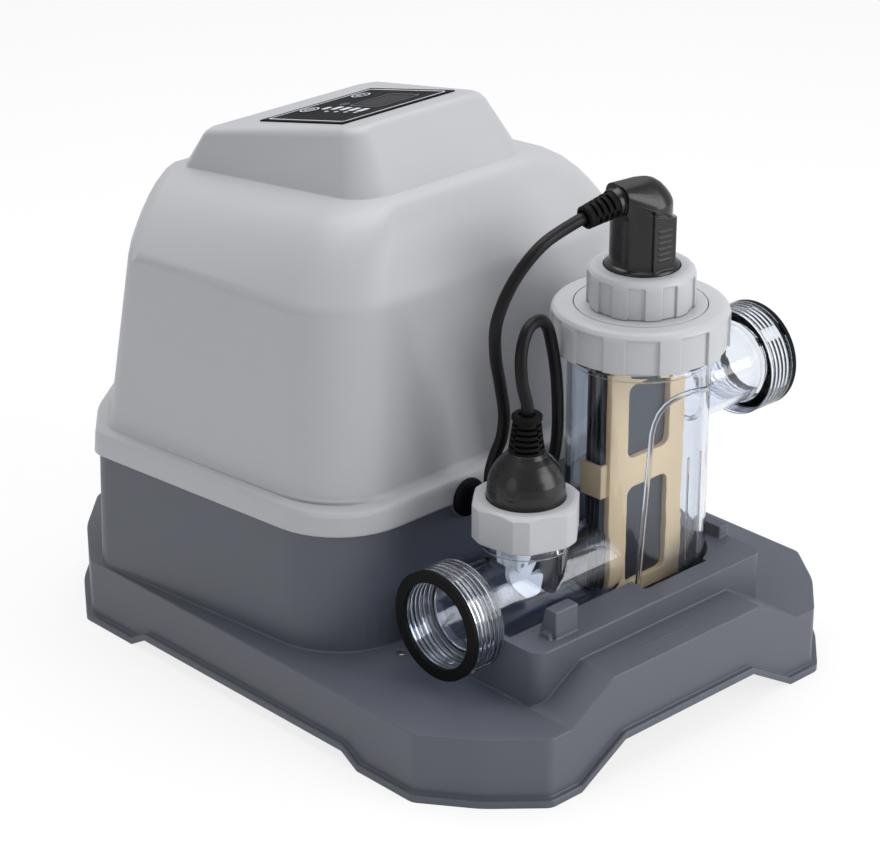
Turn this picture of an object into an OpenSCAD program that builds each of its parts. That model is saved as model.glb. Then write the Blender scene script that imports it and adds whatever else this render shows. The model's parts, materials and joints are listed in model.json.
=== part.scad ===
/* [Base tray] */
// Overall width of the base, left to right
base_w = 304; // [260:1:370]
// Overall depth of the base, cell side to back
base_d = 391; // [360:1:470]
// Height of the flat deck above the ground
deck_h = 38; // [32:1:46]
// Wall thickness of the base moulding
wall = 3; // [2.5:0.1:4]
// Rise of the front arch above the deck
arch_rise = 18.6; // [12:0.2:22]
// Height of the cell tray above the deck
tray_h = 32; // [28:0.5:36]
// Radius of the two ground fixing holes
fix_hole_r = 3; // [2:0.25:4]

/* [Power unit case] */
// Height of the seam between case and cover
seam_z = 107; // [100:1:125]
// Height of the shoulder crease of the cover
crease_z = 221; // [200:1:240]
// Height of the crown's front edge
crown_z = 299; // [290:1:330]
// Backward slope of the crown's top, in degrees
crown_tilt = 12.4; // [8:0.2:16]
// Wall thickness of the cover
cover_wall = 2.8; // [2.4:0.1:3.6]
// Width of the keypad overlay
pad_w = 82; // [70:1:88]
// Depth of the keypad overlay
pad_d = 70; // [60:1:76]
// Travel of the keypad's keys
key_travel = 0.6; // [0.3:0.1:1]

/* [Cell vessel] */
// Cell axis, measured from the middle of the base
cell_x = 40.4; // [36:0.2:46]
// Outer radius of the clear vessel
vessel_r = 38.5; // [36:0.1:39.4]
// Wall thickness of the clear mouldings
clear_wall = 3; // [2.4:0.1:4]
// Height of the inlet pipe's axis
inlet_z = 74.5; // [71:0.5:80]
// Height of the outlet pipe's axis
outlet_z = 157; // [145:0.5:158]
// Outer radius of the pipes
pipe_r = 22.5; // [20:0.5:24]
// Outer radius of the union thread
thread_r = 30; // [28:0.1:31]
// Pitch of the union thread's ridges
thread_pitch = 3; // [2.5:0.1:3.2]
// Height of the underside of the lock ring
ring_z = 191; // [186:1:196]
// Outer radius of the lock ring
ring_r = 47.7; // [46:0.1:50]
// Height of the lock ring
ring_h = 22.5; // [20:0.5:26]
// Outer radius of the plug ring
plug_ring_r = 28.9; // [28:0.1:32]

/* [Flow sensor] */
// Sensor axis, measured from the middle of the base
sensor_x = -43.6; // [-48:0.2:-40]
// Radius of the sensor nut over its corners
nut_r = 29.4; // [28.6:0.1:30.5]
// Radius of the sensor's bell
bell_r = 20.8; // [19:0.1:21.5]

/* [Cords] */
// Diameter of both cords
cord_d = 6.6; // [5:0.1:7.5]

/* [Hidden] */
$fn = 72;

eps = 0.01;
gap = 0.3;          // running gap between pieces of different bodies
snug = 0.1;         // gap between a piece and the bore that it sits in
slate = "#545762";
cover_grey = "#b0b1b5";
ring_grey = "#b7b7ba";
clear_blue = [0.8, 0.86, 0.95, 0.4];
black = "#151617";
cream = "#d7c6aa";

half_w = base_w / 2;
half_d = base_d / 2;
front = -half_d;
port_y = front + 81.5;               // plane of both pipes and the cell axis
lip_h = 4;

// ---------- plane geometry ----------
function unit(v) = v / norm(v);
function turned(v, a) = [v[0] * cos(a) - v[1] * sin(a), v[0] * sin(a) + v[1] * cos(a)];
function mixed(a, b, t) = a * (1 - t) + b * t;

// Corner i of outline P, rounded to radius R[i], as steps + 1 points
function corner(P, R, steps, i) =
    let (k = len(P), b = P[i],
         u = unit(P[(i + k - 1) % k] - b), v = unit(P[(i + 1) % k] - b),
         half = acos(u * v) / 2,
         m = b + unit(u + v) * R[i] / sin(half),
         s = b + u * R[i] / tan(half) - m,
         side = sign(v[0] * u[1] - v[1] * u[0]))
    [for (j = [0:steps]) m + turned(s, side * (180 - 2 * half) * j / steps)];
function rounded(P, R, steps) = [for (i = [0:len(P) - 1]) each corner(P, R, steps, i)];
function lifted(P, z, slope, y0) = [for (p = P) [p[0], p[1], z + slope * (p[1] - y0)]];

// Solid skin through rings of equal length, lowest first
module loft(rings) {
    n = len(rings[0]);
    m = len(rings);
    polyhedron(
        [for (r = rings) each r],
        [[for (i = [0:n - 1]) i],
         each [for (k = [0:m - 2], i = [0:n - 1]) each
            let (a = k * n + i, b = k * n + (i + 1) % n)
            [[a, b + n, b], [a, a + n, b + n]]],
         [for (i = [n - 1:-1:0]) (m - 1) * n + i]]);
}

// A section of the case: front y, half width at the front, y where the back
// corner's chamfer starts, half width there, back y, half width at the back
function section(s, inset = 0) =
    [s[0] + inset, s[1] - inset, s[2] - inset * 0.3, s[3] - inset, s[4] - inset, s[5] - inset * 0.35];
function outline(s, r, steps = 10) =
    let (l = norm([s[3] - s[5], s[4] - s[2]]), rb = min(14, l * 0.35),
         cx = (s[3] + s[5]) / 2 + l * 0.04, cy = (s[2] + s[4]) / 2 + l * 0.04)
    rounded(
        [[-s[1], s[0]], [s[1], s[0]], [s[3], s[2]], [cx, cy], [s[5], s[4]],
         [-s[5], s[4]], [-cx, cy], [-s[3], s[2]]],
        [r, r, rb, l * 0.75, rb, rb, l * 0.75, rb], steps);

// ---------- case sections, tied to the base ----------
// Each is set out from the base's own width and depth
case_front = front + 131;
case_back = half_d - 23;
rim_s = [case_front, half_w - 21.5, half_d - 77, half_w - 3.2, case_back, half_w - 60];
foot_s = [case_front + 10, half_w - 29.5, half_d - 80, half_w - 12.5, case_back - 10, half_w - 66];
crease_s = [case_front + 18, half_w - 37, half_d - 89.5, half_w - 23, case_back - 24, half_w - 71];
ledge_s = [case_front + 47.5, half_w - 84, half_d - 62.5, half_w - 77, case_back - 27, half_w - 88];
crown_base_s = [case_front + 53, half_w - 90, half_d - 67.5, half_w - 83, case_back - 32, half_w - 95];
crown_top_s = [case_front + 75.5, half_w - 104, half_d - 79, half_w - 87.5, case_back - 48, half_w - 98];
case_r = 46;
dome_r = 42;
ledge_z = crown_z - 33.5;
ledge_slope = -0.1;
crown_slope = -tan(crown_tilt);
crown_front = crown_top_s[0];
case_top_z = seam_z + 3;             // top of the base's own wall, under the seal
seal_h = 2.2;
seat_z = case_top_z + seal_h;

function case_ring(s, r, z, inset = 0) = lifted(outline(section(s, inset), r), z, 0, 0);
// The shoulder bends in from the crease to the crown's ledge
function shoulder_ring(t, inset) =
    let (s = section(mixed(crease_s, ledge_s, t), inset), rise = 1 - pow(1 - t, 1.8),
         slope = ledge_slope * rise)
    lifted(outline(s, mixed(dome_r, 24, t)),
        mixed(crease_z, ledge_z - inset, rise), slope, crown_base_s[0] * rise);
function crown_ring(t, inset, drop = 0) =
    let (s = section(mixed(crown_base_s, crown_top_s, t), inset))
    lifted(outline(s, mixed(20, 12, t)),
        mixed(ledge_z + 1, crown_z, t) - drop, mixed(ledge_slope, crown_slope, t),
        mixed(crown_base_s[0], crown_front, t));

shoulder_steps = [0, 0.08, 0.18, 0.3, 0.44, 0.6, 0.78, 1];

module cover_outside() {
    loft([
        case_ring(rim_s, case_r, seam_z),
        case_ring(rim_s, case_r, seam_z + 10.5, 0.8),
        case_ring(rim_s, case_r, seam_z + 12.6, 2),
        case_ring(rim_s, case_r, seam_z + 13.6, 4),
        case_ring(rim_s, case_r, seam_z + 13.8, 7.6),
        case_ring(foot_s, dome_r, seam_z + 15.4, -1),
        case_ring(foot_s, dome_r, seam_z + 17.5),
        each [for (t = shoulder_steps) shoulder_ring(t, 0)],
        crown_ring(0, 0),
        crown_ring(0.86, 0),
        crown_ring(0.94, 0.8),
        crown_ring(0.985, 2.2),
        crown_ring(1, 4.4)]);
}
module cover_inside() {
    w = cover_wall;
    loft([
        case_ring(rim_s, case_r, seat_z - eps, 6.4),
        case_ring(rim_s, case_r, seam_z + 9, 6.4),
        case_ring(foot_s, dome_r, seam_z + 11.5, w + 0.4),
        case_ring(foot_s, dome_r, seam_z + 17.5, w),
        each [for (t = [0, 0.18, 0.44, 0.78]) shoulder_ring(t, w)],
        crown_ring(0, w + 1, w + 1),
        crown_ring(1, w, w)]);
}

// ---------- crown top: frame of the keypad ----------
pad_y = crown_front + 52;                               // middle of the overlay
pad_z = crown_z + crown_slope * (pad_y - crown_front);
pad_t = 0.8;
// Puts children in the keypad's plane: +Z leaves the crown, +Y climbs down its slope
module on_crown(x = 0, y = 0, z = 0) {
    translate([0, pad_y, pad_z]) rotate([-crown_tilt, 0, 0]) translate([x, y, z]) children();
}
// Layout on the overlay, as fractions of its size
window_at = [pad_w * 0.161, -pad_d * 0.114];
window_size = [pad_w * 0.305, pad_d * 0.28];
key_power_at = [pad_w * 0.267, pad_d * 0.313];
key_mode_at = [-pad_w * 0.188, pad_d * 0.323];
led_at = [for (i = [0:3]) [-pad_w * 0.2, pad_d * (0.1 - i * 0.115)]];
key_r = 6;

// ---------- base ----------
lip_out = 3;
chamfer_f = [48, 53];       // front corners, along x and y
chamfer_b = [57, 66];       // back corners
arch_top = [half_w - 95.5, half_w - 64];     // half widths of the raised stretch, top and foot
arch_gap = [half_w - 102, half_w - 70];      // the same, under the arch
notch_h = 7;                                 // height of the notches between the feet
tray_x = half_w - 65;
tray_front = front + 28;
tray_back = port_y + 44.5;
tray_top = deck_h + tray_h;
pocket_floor = deck_h + wall;
pocket_r = vessel_r + 1.6;
trough_w = pipe_r + 6.5;
post_x = [-tray_x + 19, -tray_x + 35];
post_y = [tray_front + 6.5, tray_front + 17];
post_h = 15.5;
column_at = [for (sx = [-1, 1])
    each [[sx * (half_w - 46), case_front + 23.5], [sx * (half_w - 21), half_d - 92]]];
column_r = 6.5;
screw_head_z = case_top_z - 17;
gland_z = seam_z + 1;
cell_gland_x = sensor_x + 5.6;
sensor_gland_x = cell_gland_x + 34;
mains_gland_x = half_w - 92;
mains_gland_z = deck_h + 34;
gland_r = 7;
gland_flange_r = 10.8;
fix_hole_x = half_w - 57.2;
fix_hole_y = case_front - 8.7;
plate_z = deck_h + 6;                        // chassis plate, on four bosses
plate_t = 2;
plate_half = [half_w - 42, (case_back - case_front) / 2 - 14];
plate_mid = (case_front + case_back) / 2;
plate_boss_at = [for (sx = [-1, 1], sy = [-1, 1])
    [sx * (plate_half[0] - 22), plate_mid + sy * (plate_half[1] - 8)]];

module base_outline(inset) {
    x = half_w - inset;
    y = half_d - inset;
    k = inset * 0.45;
    f = [chamfer_f[0] - k, chamfer_f[1] - k];
    b = [chamfer_b[0] - k, chamfer_b[1] - k];
    P = [[-x + f[0], -y], [x - f[0], -y],
        [x - f[0] / 2 + 2.6, -y + f[1] / 2 - 2.6], [x, -y + f[1]],
        [x, y - b[1]], [x - b[0] / 2 + 3, y - b[1] / 2 + 3], [x - b[0], y],
        [-x + b[0], y], [-x + b[0] / 2 - 3, y - b[1] / 2 + 3], [-x, y - b[1]],
        [-x, -y + f[1]], [-x + f[0] / 2 - 2.6, -y + f[1] / 2 - 2.6]];
    polygon(rounded(P, [8, 8, 60, 8, 8, 70, 14, 14, 70, 8, 8, 60], 5));
}
module arch_profile(half_top, half_foot, z_top, z_foot) {
    polygon([[-half_foot, z_foot - 60], [half_foot, z_foot - 60], [half_foot, z_foot],
        [half_top, z_top], [-half_top, z_top], [-half_foot, z_foot]]);
}
module along_y(y0, y1) {
    translate([0, y1, 0]) rotate([90, 0, 0]) linear_extrude(y1 - y0) children();
}
module along_x(x0, x1) {
    translate([x0, 0, 0]) rotate([90, 0, 90]) linear_extrude(x1 - x0) children();
}
// The arch under the front skirt and the notches between the feet
module skirt_gaps() {
    along_y(front - 1, front + 20) arch_profile(arch_gap[0], arch_gap[1], arch_rise, 0);
    along_y(half_d - 20, half_d + 1) arch_profile(half_w - 87, half_w - 75, notch_h, 0);
    for (x0 = [-half_w - 1, half_w - 20]) along_x(x0, x0 + 21) translate([-6, 0])
        arch_profile(half_d - 113, half_d - 101, notch_h, 0);
}
module tray_plan(inset) {
    box = [[-tray_x + inset, tray_front + inset], [tray_x - inset, tray_front + inset],
        [tray_x - inset, tray_back - inset], [-tray_x + inset, tray_back - inset]];
    polygon(rounded(box, [8, 8, 8, 8], 6));
}
module pocket_plan(clear) {
    translate([cell_x, port_y]) circle(pocket_r + clear);
    translate([cell_x - 33 - clear, port_y - pocket_r - clear]) square([48 + 2 * clear, pocket_r]);
    translate([-tray_x + wall + 1 - clear, port_y - trough_w - clear])
        square([tray_x + cell_x - wall, 2 * (trough_w + clear)]);
}
// Stop beside the inlet pipe, with a leaning back face
module pipe_post() {
    along_x(post_x[0], post_x[1]) translate([0, tray_top]) polygon([[post_y[0] - 1, -1],
        [post_y[1] + 2, -1],
        [post_y[1], 3], [post_y[0] + 7.5, post_h], [post_y[0], post_h], [post_y[0] - 0.2, 1]]);
    along_x(post_x[0] - 3, post_x[0] + 1) translate([0, tray_top]) polygon([[post_y[0] + 1, -1],
        [post_y[1] + 1, -1], [post_y[1] - 3, 3], [post_y[0] + 2, 3]]);
    translate([tray_x - 7, port_y - 27, tray_top - 1]) cube([7, 14, 8]);
}
module gland_bore(x, y, z, r, length) {
    translate([x, y, z]) rotate([-90, 0, 0]) cylinder(length, r = r);
}
module base_solids() {
    linear_extrude(lip_h) base_outline(0);
    linear_extrude(deck_h) base_outline(lip_out);
    intersection() {
        linear_extrude(arch_rise + 12) base_outline(0);
        translate([0, 0, lip_h]) skirt_gaps();
    }
    intersection() {
        linear_extrude(deck_h + arch_rise) base_outline(lip_out);
        along_y(front, tray_front + 5)
            arch_profile(arch_top[0], arch_top[1], deck_h + arch_rise, deck_h);
    }
    linear_extrude(tray_top) tray_plan(0);
    loft([case_ring(rim_s, case_r, deck_h - 1, 1), case_ring(rim_s, case_r, case_top_z, 3)]);
    pipe_post();
    // flats that the cord glands seat on
    for (x = [cell_gland_x, sensor_gland_x]) intersection() {
        gland_bore(x, case_front, gland_z, gland_flange_r + 1.4, 5);
        translate([x - 20, case_front - 1, 0]) cube([40, 20, seam_z - 0.2]);
    }
    gland_bore(mains_gland_x, case_back - 5, mains_gland_z, gland_flange_r + 1.4, 5);
}
module base_hollows() {
    translate([0, 0, -eps]) linear_extrude(deck_h - wall + eps) base_outline(lip_out + wall);
    intersection() {
        linear_extrude(deck_h + arch_rise) base_outline(lip_out + wall);
        along_y(front, tray_front + wall)
            arch_profile(arch_top[0] - 2, arch_top[1] - 2, deck_h + arch_rise - wall, deck_h - wall);
    }
    difference() {
        translate([0, 0, -eps]) linear_extrude(tray_top - wall) tray_plan(wall);
        translate([0, 0, pocket_floor - wall]) linear_extrude(tray_h + 9) pocket_plan(wall);
    }
    loft([case_ring(rim_s, case_r, deck_h, wall + 1), case_ring(rim_s, case_r, case_top_z + 1, wall + 3)]);
}
module base_openings() {
    translate([0, 0, pocket_floor]) linear_extrude(tray_h) pocket_plan(0);
    translate([-tray_x - 1, port_y, inlet_z]) rotate([0, 90, 0]) cylinder(wall + 6, r = pipe_r + 1.2);
    skirt_gaps();
    for (sx = [-1, 1])
        translate([sx * fix_hole_x, fix_hole_y, deck_h - wall - 1]) cylinder(wall + 2, r = fix_hole_r);
    for (x = [cell_gland_x, sensor_gland_x]) gland_bore(x, case_front - 5, gland_z, gland_r, 20);
    gland_bore(mains_gland_x, case_back - 18, mains_gland_z, gland_r, 26);
    // holes under the screw columns
    for (p = column_at) translate([p[0], p[1], 0]) cylinder(deck_h + 10, r = 4.4);
}
module base() {
    color(slate) difference() {
        base_solids();
        base_hollows();
        base_openings();
    }
    color(slate) for (p = column_at) difference() {
        translate([p[0], p[1], deck_h - wall]) cylinder(case_top_z - deck_h + wall, r = column_r);
        translate([p[0], p[1], deck_h - wall - 1]) cylinder(case_top_z, r = 2.2);
        translate([p[0], p[1], deck_h - wall - 1]) cylinder(screw_head_z - deck_h + wall + 1, r = 4.4);
    }
    color(slate) for (p = plate_boss_at) difference() {
        translate([p[0], p[1], deck_h - 0.5]) cylinder(plate_z - deck_h + 0.5, r = 5);
        translate([p[0], p[1], deck_h + 0.5]) cylinder(plate_z, r = 1.6);
    }
}

// ---------- power unit: cover, seal and screws ----------
keypad_board_z = -9;
board_post_at = [for (sx = [-1, 1], sy = [-1, 1]) [sx * pad_w * 0.38, sy * pad_d * 0.4]];
module case_seal() {
    color("#26282b") difference() {
        loft([case_ring(rim_s, case_r, case_top_z, 3.4), case_ring(rim_s, case_r, seat_z, 3.4)]);
        loft([case_ring(rim_s, case_r, case_top_z - 1, 5.6), case_ring(rim_s, case_r, seat_z + 1, 5.6)]);
        for (x = [cell_gland_x, sensor_gland_x]) gland_bore(x, case_front - 5, gland_z, gland_r, 20);
    }
}
module top_cover() {
    color(cover_grey) difference() {
        union() {
            difference() {
                cover_outside();
                cover_inside();
                loft([case_ring(rim_s, case_r, seam_z - 1, 2.7), case_ring(rim_s, case_r, seat_z, 2.7)]);
            }
            for (p = column_at) translate([p[0], p[1], case_top_z + 0.1]) cylinder(22, r = 5);
            for (p = board_post_at) on_crown(p[0], p[1], keypad_board_z)
                cylinder(-keypad_board_z - 1, r = 3);
        }
        for (p = column_at) translate([p[0], p[1], case_top_z - 1]) cylinder(18, r = 2.1);
        for (x = [cell_gland_x, sensor_gland_x]) gland_bore(x, case_front - 5, gland_z, gland_r, 20);
        on_crown(window_at[0], window_at[1], -6) translate([-window_size[0] / 2, -window_size[1] / 2, 0])
            cube([window_size[0], window_size[1], 8]);
        for (k = [key_power_at, key_mode_at]) on_crown(k[0], k[1], -8) cylinder(10, r = key_r + gap);
        for (p = led_at) on_crown(p[0], p[1], -6) cylinder(8, r = 1.5);
        for (p = board_post_at) on_crown(p[0], p[1], keypad_board_z - 1) cylinder(6, r = 1);
    }
}
module screw(head_r, head_h, shank_r, length) {
    difference() {
        union() {
            translate([0, 0, -head_h]) cylinder(head_h, r = head_r);
            translate([0, 0, -0.1]) cylinder(length + 0.1, r = shank_r);
        }
        for (a = [0, 90]) rotate(a) translate([-head_r * 0.6, -0.5, -head_h - 1])
            cube([head_r * 1.2, 1, 2.2]);
    }
}
module case_screws() {
    color("#8f9296") for (p = column_at)
        translate([p[0], p[1], screw_head_z]) screw(4, 3, 2, case_top_z - screw_head_z + 14);
}
module keypad_overlay() {
    color("#24252d") difference() {
        on_crown(-pad_w / 2, -pad_d / 2, 0) cube([pad_w, pad_d, pad_t]);
        on_crown(window_at[0], window_at[1], -1) translate([-window_size[0] / 2, -window_size[1] / 2, 0])
            cube([window_size[0], window_size[1], 3]);
        for (k = [key_power_at, key_mode_at]) on_crown(k[0], k[1], -1) cylinder(3, r = key_r + gap);
        for (p = led_at) on_crown(p[0], p[1], -1) cylinder(3, r = 1.5);
    }
}
module display_window() {
    color([0.25, 0.26, 0.3, 0.7]) on_crown(window_at[0], window_at[1], -5) union() {
        translate([-window_size[0] / 2 + snug, -window_size[1] / 2 + snug, 0])
            cube([window_size[0] - 2 * snug, window_size[1] - 2 * snug, 5 + pad_t]);
    }
}
// Key cap with a stem and a flange that stops it under the crown
module key_cap(at) {
    on_crown(at[0], at[1], 0) {
        translate([0, 0, -cover_wall - 1.6]) cylinder(cover_wall + 1.6 + pad_t + 0.3, r = key_r);
        translate([0, 0, -cover_wall - 1.6]) cylinder(1.2, r = key_r + 1.6);
        translate([0, 0, keypad_board_z + 3.5 + key_travel + 0.1]) cylinder(3, r = 2);
    }
}
module key_power() {
    color("#2e2f38") key_cap(key_power_at);
}
module key_mode() {
    color("#2e2f38") key_cap(key_mode_at);
}
module status_leds() {
    color("#d8dad6") for (p = led_at) on_crown(p[0], p[1], keypad_board_z + 1.6)
        cylinder(pad_t - keypad_board_z - 1.6, r = 1.4);
}
module keypad_board() {
    color("#2f6b3d") difference() {
        union() {
            on_crown(-pad_w * 0.45, -pad_d * 0.47, keypad_board_z - 1.6)
                cube([pad_w * 0.9, pad_d * 0.94, 1.6]);
            // key switches
            for (k = [key_power_at, key_mode_at]) on_crown(k[0] - 3, k[1] - 3, keypad_board_z - 0.5)
                cube([6, 6, 4]);
            // pads under the status lights and the display
            for (p = led_at) on_crown(p[0], p[1], keypad_board_z - 0.5) cylinder(2.1, r = 1.4);
        }
        for (p = board_post_at) on_crown(p[0], p[1], keypad_board_z - 3) cylinder(4, r = 1);
    }
}
module display_module() {
    color("#1a1b1e") on_crown(window_at[0], window_at[1], keypad_board_z)
        translate([-window_size[0] / 2 + 0.6, -window_size[1] / 2 + 0.6, 0])
        cube([window_size[0] - 1.2, window_size[1] - 1.2, -keypad_board_z - 5]);
}

// ---------- power unit: chassis ----------
plate_top = plate_z + plate_t;
core = [76, 40, 64];                         // width, depth and height of the iron core
core_at = [-62, plate_mid + 4];
core_window = [13, 38];
coil_gap = 0.3;
board = [100, 150, 1.6];
board_at = [52, plate_mid];
board_z = plate_top + 8;
board_top = board_z + board[2];
standoff_at = [for (sx = [-1, 1], sy = [-1, 1])
    [board_at[0] + sx * (board[0] / 2 - 6), board_at[1] + sy * (board[1] / 2 - 6)]];
module chassis_plate() {
    color("#9b9ea1") difference() {
        translate([0, plate_mid, plate_z]) linear_extrude(plate_t) polygon(rounded([
            [-plate_half[0], -plate_half[1]], [plate_half[0], -plate_half[1]],
            [plate_half[0], plate_half[1]], [-plate_half[0], plate_half[1]]], [40, 40, 30, 30], 8));
        for (p = plate_boss_at) translate([p[0], p[1], plate_z - 1]) cylinder(plate_t + 2, r = 2);
        for (p = standoff_at) translate([p[0], p[1], plate_z - 1]) cylinder(plate_t + 2, r = 1.6);
        for (p = column_at) translate([p[0], p[1], plate_z - 1]) cylinder(plate_t + 2, r = column_r + 1);
    }
}
module plate_screws() {
    color("#8f9296") for (p = plate_boss_at) translate([p[0], p[1], plate_top]) mirror([0, 0, 1])
        screw(3.6, 2.4, 1.5, plate_t + 4.5);
}
module transformer_core() {
    color("#4a4a4e") translate([core_at[0], core_at[1], plate_top]) difference() {
        translate([-core[0] / 2, -core[1] / 2, 0]) cube(core);
        for (sx = [-1, 1]) translate([sx * (core[0] / 4) - core_window[0] / 2, -core[1] / 2 - 1,
            (core[2] - core_window[1]) / 2]) cube([core_window[0], core[1] + 2, core_window[1]]);
    }
}
module transformer_coil() {
    leg = core[0] / 2 - core_window[0];
    out = leg / 2 + core_window[0] - coil_gap;
    color("#b5743a")
        translate([core_at[0], core_at[1], plate_top + (core[2] - core_window[1]) / 2 + coil_gap])
        linear_extrude(core_window[1] - 2 * coil_gap) difference() {
            polygon(rounded([[-out, -core[1] / 2 - 12], [out, -core[1] / 2 - 12],
                [out, core[1] / 2 + 12], [-out, core[1] / 2 + 12]], [8, 8, 8, 8], 6));
            translate([-leg / 2 - coil_gap, -core[1] / 2 - coil_gap])
                square([leg + 2 * coil_gap, core[1] + 2 * coil_gap]);
        }
}
module transformer_bracket() {
    t = 1.5;
    w = 14;
    color("#a7aaad") translate([core_at[0], core_at[1], plate_top]) {
        translate([-core[0] / 2 - t, -w / 2, core[2]]) cube([core[0] + 2 * t, w, t]);
        for (sx = [-1, 1]) {
            translate([sx * (core[0] / 2 + t / 2) - t / 2, -w / 2, 0]) cube([t, w, core[2] + t]);
            translate([sx * (core[0] / 2 + 8) - 8, -w / 2, 0]) cube([16, w, t]);
            translate([sx * (core[0] / 2 + 9), 0, t]) cylinder(2.4, r = 3.4);
        }
    }
}
module board_standoffs() {
    color("#c9a45a") for (p = standoff_at) translate([p[0], p[1], plate_top]) {
        cylinder(board_z - plate_top, r = 3, $fn = 6);
        translate([0, 0, -plate_t]) cylinder(plate_t + 0.1, r = 1.5);
        translate([0, 0, board_z - plate_top - 0.1]) cylinder(board[2] + 0.1, r = 1.5);
        translate([0, 0, board_top - plate_top]) cylinder(1.6, r = 2.8);
    }
}
module main_board() {
    color("#2f6b3d") difference() {
        translate([board_at[0] - board[0] / 2, board_at[1] - board[1] / 2, board_z]) cube(board);
        for (p = standoff_at) translate([p[0], p[1], board_z - 1]) cylinder(board[2] + 2, r = 1.6);
    }
}
module heat_sink() {
    color("#b9bcbe") translate([board_at[0] - 38, board_at[1] + 8, board_top]) {
        cube([34, 56, 4]);
        for (i = [0:6]) translate([i * 5.3, 0, 3.9]) cube([2.2, 56, 26]);
    }
}
module capacitors() {
    color("#30353f") for (i = [0:2]) translate([board_at[0] + 26, board_at[1] - 34 + i * 30, board_top]) {
        cylinder(38, r = 12.5);
        translate([0, 0, 37.9]) cylinder(1.1, r = 11.6);
    }
}
module relays() {
    color("#27518f") for (i = [0:2])
        translate([board_at[0] - 46 + i * 20, board_at[1] - 40, board_top]) cube([18, 24, 17]);
}
module terminal_block() {
    color("#2c7a55") translate([board_at[0] - 36, board_at[1] - board[1] / 2 + 5, board_top]) difference() {
        cube([60, 13, 16]);
        for (i = [0:5]) translate([5 + i * 10, 6.5, 10]) cylinder(8, r = 2.6);
        for (i = [0:5]) translate([2.4 + i * 10, -1, 3]) cube([5.2, 8, 5]);
    }
}

// ---------- cord glands ----------
gland_dome = 4.6;
// Moulded grommet: domed flange outside, body through the wall, collar inside
module gland(x, y, z, wall_t) {
    translate([x, y, z]) rotate([90, 0, 0]) rotate_extrude() polygon([[0, -wall_t - 6],
        [gland_r - 1, -wall_t - 6],
        [gland_r - 0.1, -wall_t - 4], [gland_r - 0.1, 0], [gland_flange_r, 0], [gland_flange_r, 1.2],
        [gland_flange_r - 0.8, 2.6], [gland_flange_r - 2.6, 3.8], [cord_d / 2 + 1, gland_dome],
            [0, gland_dome]]);
}
module cell_gland() {
    color(black) gland(cell_gland_x, case_front, gland_z, 6);
}
module sensor_gland() {
    color(black) gland(sensor_gland_x, case_front, gland_z, 6);
}
module mains_gland() {
    color(black) rotate(180) gland(-mains_gland_x, -case_back, mains_gland_z, 6);
}

// ---------- clear vessel ----------
vessel_foot = pocket_floor + 3;
vessel_in = vessel_r - clear_wall;
vessel_top = ring_z + 13.4;
crest_r = ring_r - 5.4;                      // thread that the lock ring turns on
pipe_in = pipe_r - clear_wall;
neck_r = bell_r + 1.2;
neck_in = neck_r - clear_wall;
neck_top = inlet_z + 43.5;
collar_r = neck_r + 2.3;
nut_z = neck_top - 10.7;
nut_h = 20.7;
gasket_t = 2.5;
port_len = 18;
port_in = thread_r - 6.2;
inlet_face = -half_w + 43.1;                 // outer faces of the two gaskets
outlet_face = half_w - 17;

// Puts children at a port, with +Z pointing out of it and z = 0 at its open end
module at_port(side) {
    translate([side < 0 ? inlet_face + gasket_t : outlet_face - gasket_t, port_y,
        side < 0 ? inlet_z : outlet_z])
        rotate([0, side * 90, 0]) children();
}
module port_thread() {
    difference() {
        union() {
            translate([0, 0, -port_len]) cylinder(port_len, r = thread_r - 1.1);
            translate([0, 0, -port_len]) cylinder(2, r = thread_r);
            for (i = [0:4]) translate([0, 0, -2.5 - i * thread_pitch]) cylinder(1.9, r = thread_r);
        }
        // the thread is left out along the two mould lines
        for (a = [45, 225]) rotate(a) translate([thread_r - 1.1, -4, -port_len + 2.2])
            cube([3, 8, port_len + 1]);
    }
}
module cell_vessel() {
    color(clear_blue) difference() {
        union() {
            translate([cell_x, port_y, 0]) rotate_extrude() polygon([[0, vessel_foot],
                [vessel_r - 6, vessel_foot],
                [vessel_r - 3, vessel_foot + 0.8], [vessel_r - 0.8, vessel_foot + 3],
                    [vessel_r, vessel_foot + 6],
                [vessel_r, ring_z - 8], [vessel_r + 0.9, ring_z - 7], [vessel_r + 0.9, ring_z - 5],
                [vessel_r, ring_z - 4], [vessel_r, ring_z + 1.5], [crest_r, ring_z + 3],
                    [crest_r, vessel_top],
                [0, vessel_top]]);
            translate([cell_x, port_y, pocket_floor]) cylinder(4, r = 22);
            for (side = [-1, 1]) at_port(side) {
                port_thread();
                translate([0, 0, side * cell_x - (side < 0 ? -inlet_face : outlet_face) + gasket_t])
                    cylinder((side < 0 ? -inlet_face : outlet_face)
                        - gasket_t - side * cell_x - port_len + 1, r = pipe_r);
            }
            translate([sensor_x, port_y, inlet_z]) cylinder(neck_top - inlet_z, r = neck_r);
            translate([sensor_x, port_y, nut_z - 6]) cylinder(neck_top - nut_z + 4, r = collar_r);
        }
        translate([cell_x, port_y, vessel_foot + clear_wall]) cylinder(vessel_top, r = vessel_in);
        for (side = [-1, 1]) at_port(side) {
            translate([0, 0, 2.5 - port_len]) cylinder(port_len, r = port_in);
            translate([0, 0, side * cell_x - (side < 0 ? -inlet_face : outlet_face) + gasket_t])
                cylinder((side < 0 ? -inlet_face : outlet_face) - side * cell_x, r = pipe_in);
        }
        translate([sensor_x, port_y, inlet_z]) cylinder(neck_top, r = neck_in);
        translate([cell_x, port_y, pocket_floor - 1]) cylinder(4, r = 19);
    }
}
module gasket() {
    difference() {
        cylinder(gasket_t, r = thread_r);
        translate([0, 0, -1]) cylinder(gasket_t + 2, r = port_in);
    }
}
module inlet_gasket() {
    color(black) at_port(-1) gasket();
}
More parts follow.
